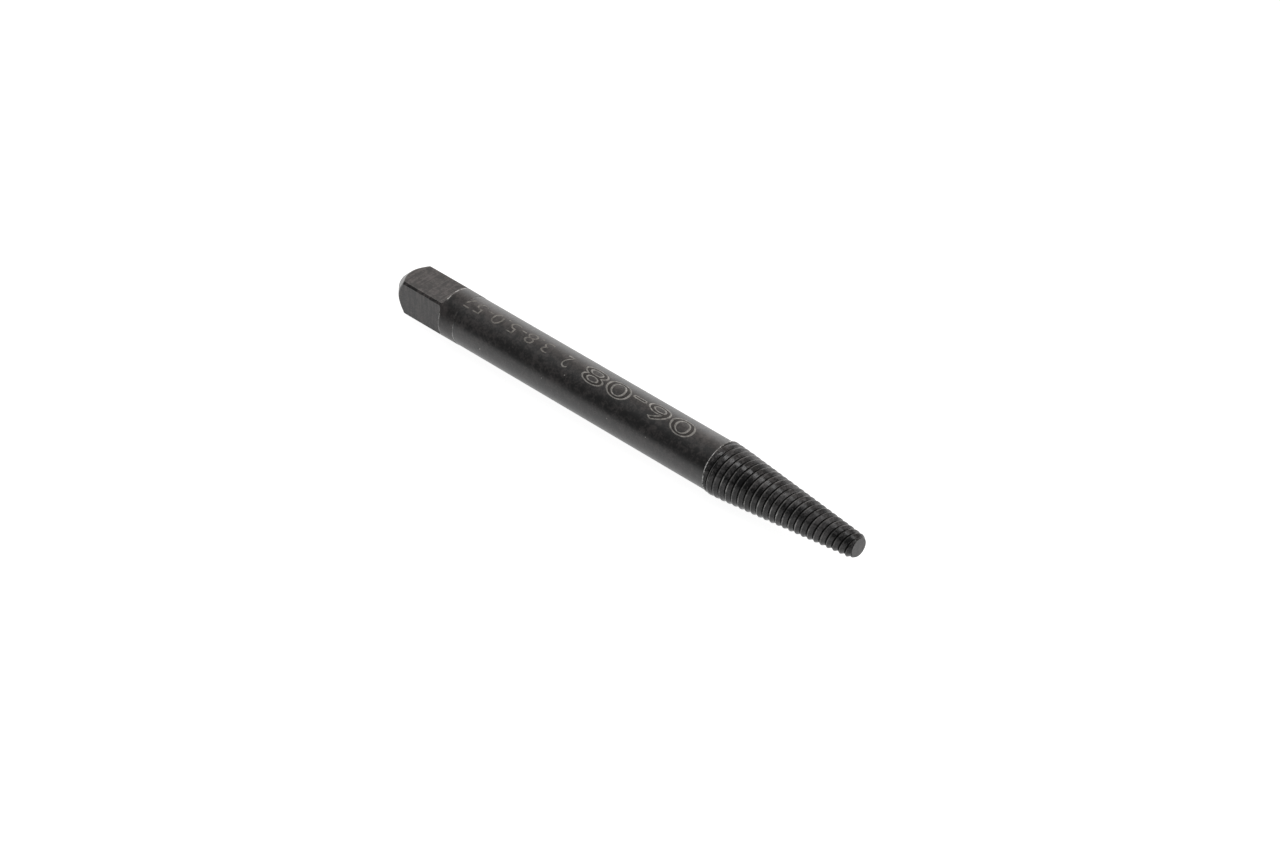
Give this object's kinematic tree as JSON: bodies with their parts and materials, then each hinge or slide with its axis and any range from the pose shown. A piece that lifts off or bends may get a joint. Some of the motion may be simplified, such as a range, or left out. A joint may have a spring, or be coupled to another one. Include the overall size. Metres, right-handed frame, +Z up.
{
  "type": "screw extractor",
  "caption": "Tapered left-hand spiral extractor with a square drive head and a plain round shank. It bites into a drilled hole and backs out a broken screw.",
  "frame": {"origin": "under the middle of the length and under the tool's axis, on the surface it lies on", "axes": "+X along the tool's axis towards the tip, +Z up, with two flats of the square level"},
  "size_m": [0.0568, 0.0052, 0.0053],
  "materials": {
    "blackened_steel": "hardened tool steel, ground and milled, then blackened; satin"
  },
  "bodies": {
    "root": {"screw_extractor": "blackened_steel"}
  },
  "joints": []
}
